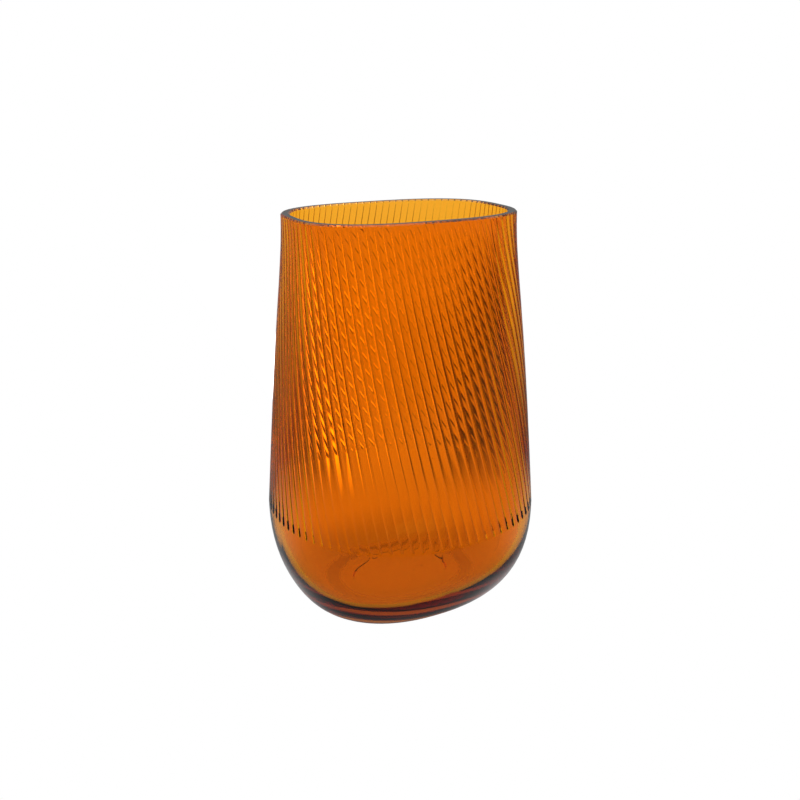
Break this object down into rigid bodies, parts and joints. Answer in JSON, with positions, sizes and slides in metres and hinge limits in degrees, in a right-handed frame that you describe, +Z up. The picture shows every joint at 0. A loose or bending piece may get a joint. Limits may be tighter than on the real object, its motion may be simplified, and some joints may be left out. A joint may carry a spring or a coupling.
{
  "type": "vase",
  "caption": "Heavy blown glass vase with an oval mouth, a swirl-ribbed tapering wall, a smooth rounded heel and a thick base.",
  "frame": {"origin": "centre of the foot's oval, on the table", "axes": "+Z up through the mouth, +X along the mouth's long way, +Y across it"},
  "size_m": [0.169, 0.162, 0.25],
  "materials": {
    "amber_glass": "amber glass coloured through, fire-polished, with the lip and foot ground and polished"
  },
  "bodies": {
    "root": {"rim_lip": "amber_glass", "ribbed_wall": "amber_glass", "heel_bowl": "amber_glass", "thick_base": "amber_glass"}
  },
  "joints": []
}
